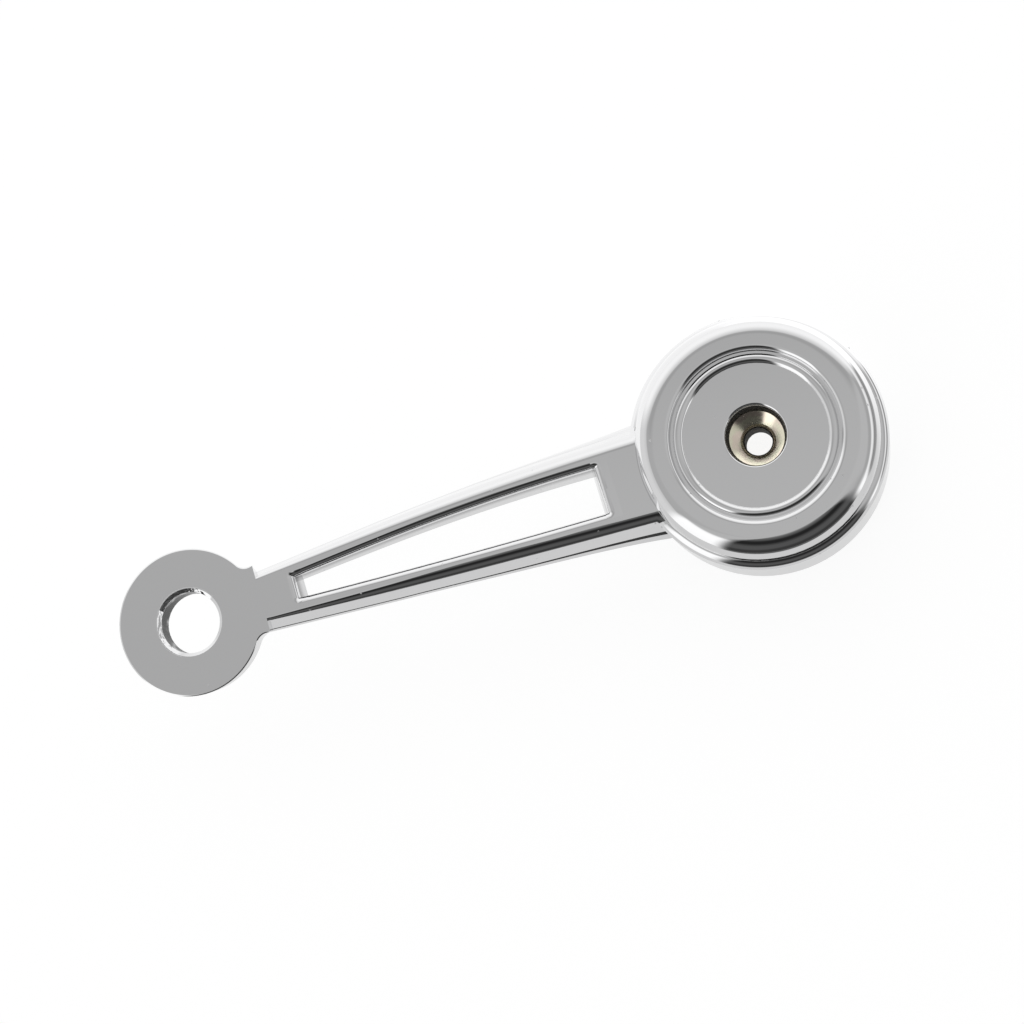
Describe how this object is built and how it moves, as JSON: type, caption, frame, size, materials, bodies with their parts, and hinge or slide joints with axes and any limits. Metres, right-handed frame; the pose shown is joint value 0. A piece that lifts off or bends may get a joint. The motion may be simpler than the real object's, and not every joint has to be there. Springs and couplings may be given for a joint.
{
  "type": "crank handle",
  "caption": "Chromed window crank handle: a stepped round hub with a pressed-in drive insert, a tapered slotted arm and a drilled round end for a knob.",
  "frame": {"origin": "on the hub's axis, level with the hub's flat back", "axes": "+Z along the hub's axis towards its face, -X along the arm towards the knob end"},
  "size_m": [0.1446, 0.0462, 0.02],
  "materials": {
    "chrome_plate": "bright mirror plate on zinc",
    "warm_brass": "machined, pale nickel-brass tone"
  },
  "bodies": {
    "root": {"crank_body": "chrome_plate", "drive_insert": "warm_brass"}
  },
  "joints": []
}
